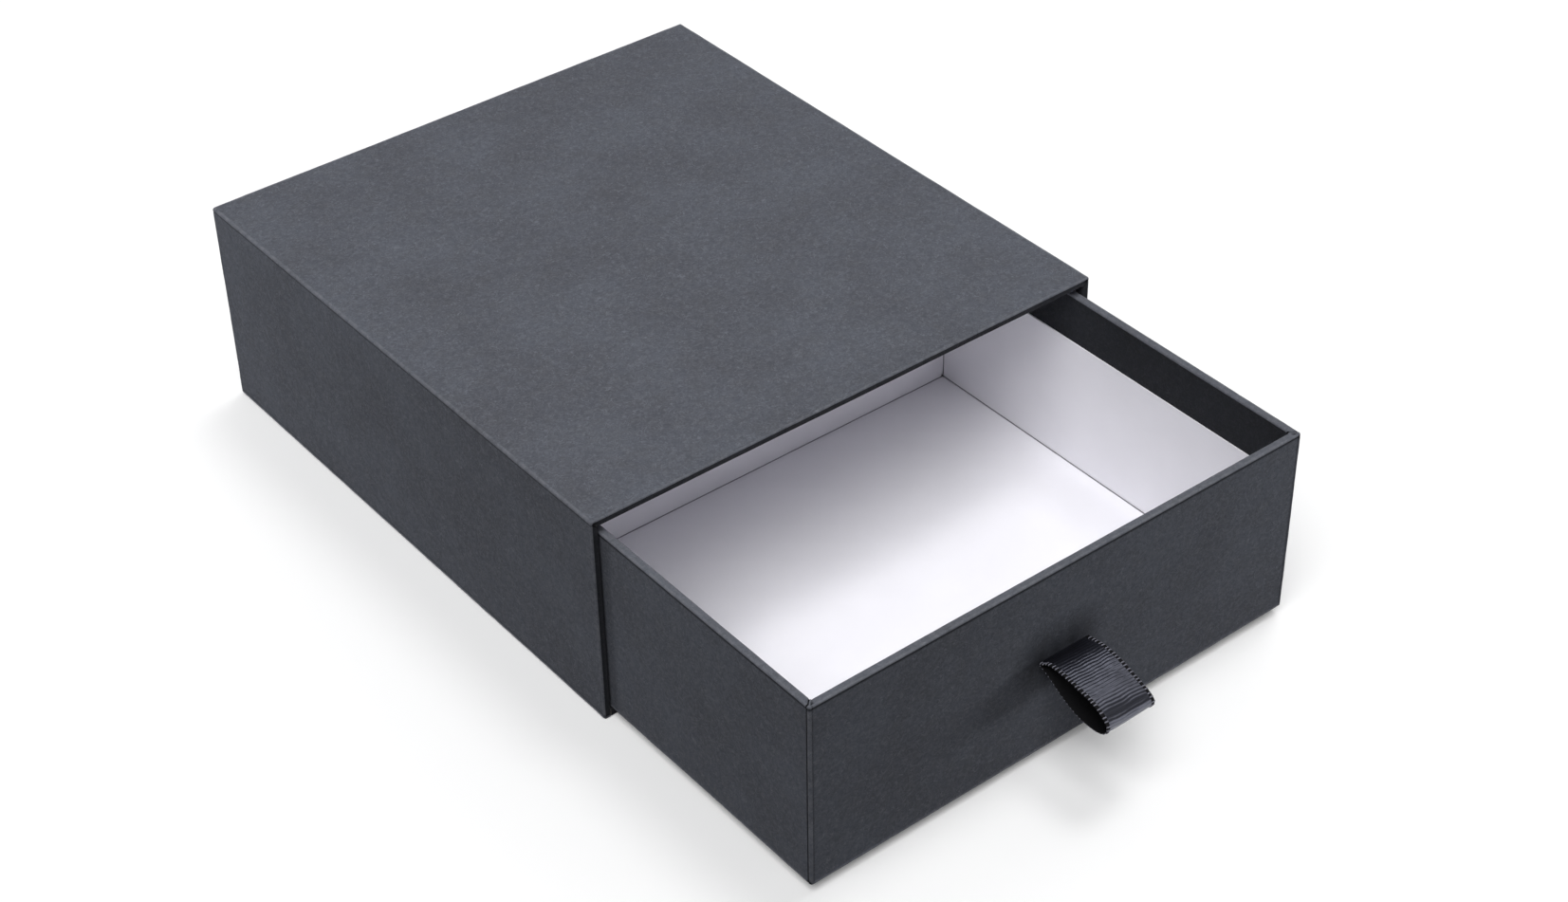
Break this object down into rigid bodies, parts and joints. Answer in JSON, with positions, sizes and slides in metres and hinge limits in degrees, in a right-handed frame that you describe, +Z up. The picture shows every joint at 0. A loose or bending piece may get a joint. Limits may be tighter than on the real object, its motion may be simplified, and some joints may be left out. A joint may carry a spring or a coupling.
{
  "type": "drawer gift box",
  "caption": "Rigid sliding gift box: a closed-back charcoal paper sleeve with a white-lined drawer, a divider wall and a black satin ribbon pull.",
  "frame": {"origin": "centre of the sleeve's underside", "axes": "+Z up, +X to the right as seen from the mouth, the drawer opens towards -Y"},
  "size_m": [0.2, 0.3487, 0.078],
  "materials": {
    "charcoal_paper": "matte uncoated",
    "greyboard": "matte",
    "paper_tape": "matte",
    "white_paper": "matte",
    "white_card": "matte",
    "satin_ribbon": "satin"
  },
  "bodies": {
    "sleeve": {"sleeve_top_board": "greyboard", "sleeve_base_board": "greyboard", "sleeve_left_board": "greyboard", "sleeve_right_board": "greyboard", "sleeve_back_board": "greyboard", "sleeve_stay_tapes": "paper_tape", "sleeve_wrap": "charcoal_paper", "sleeve_base_paper": "charcoal_paper", "sleeve_back_paper": "charcoal_paper", "sleeve_lining": "white_paper"},
    "drawer": {"drawer_front_board": "greyboard", "drawer_back_board": "greyboard", "drawer_left_board": "greyboard", "drawer_right_board": "greyboard", "drawer_floor_board": "greyboard", "drawer_stay_tapes": "paper_tape", "drawer_wrap": "charcoal_paper", "floor_lining": "white_card", "front_lining": "white_card", "back_lining": "white_card", "left_lining": "white_card", "right_lining": "white_card", "divider_board": "greyboard", "divider_cover": "white_card", "ribbon_tails": "satin_ribbon", "ribbon_anchor_tape": "paper_tape"},
    "ribbon": {"pull_ribbon": "satin_ribbon"}
  },
  "joints": [
    {"name": "drawer_slide", "type": "slide", "parent": "sleeve", "child": "drawer", "axis": [0, -1, 0], "range_m": [-0.0975, 0.121]},
    {"name": "ribbon_swing", "type": "hinge", "parent": "drawer", "child": "ribbon", "pos_m": [0, -0.2093, 0.0387], "axis": [1, 0, 0], "range_deg": [-45, 45], "stiffness_Nm_per_rad": 0.002}
  ]
}
